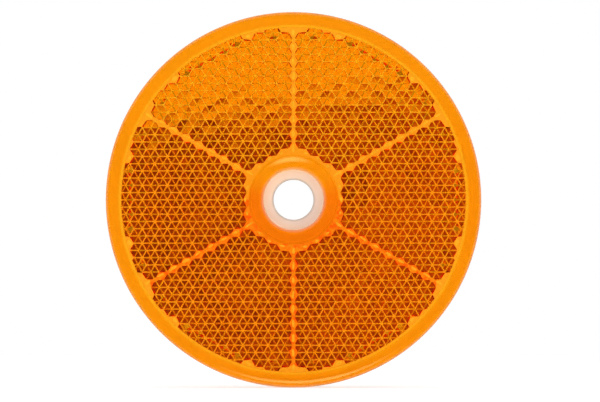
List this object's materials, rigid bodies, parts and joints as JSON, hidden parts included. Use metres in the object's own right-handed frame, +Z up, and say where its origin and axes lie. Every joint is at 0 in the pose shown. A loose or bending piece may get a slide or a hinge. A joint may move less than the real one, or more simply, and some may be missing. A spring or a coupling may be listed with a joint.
{
  "type": "round reflex reflector",
  "caption": "Round amber reflex reflector with a prism lens welded to a white back plate and a bolt hole through its centre.",
  "frame": {"origin": "centre of the bolt hole at the back mounting face", "axes": "upright as mounted: the lens faces -Y, +Z is up, the bolt hole runs along Y"},
  "size_m": [0.06, 0.007, 0.06],
  "materials": {
    "lens_amber": "clear amber acrylic, polished",
    "plate_white": "white moulded ABS, satin"
  },
  "bodies": {
    "root": {"lens": "lens_amber", "back_plate": "plate_white"}
  },
  "joints": []
}
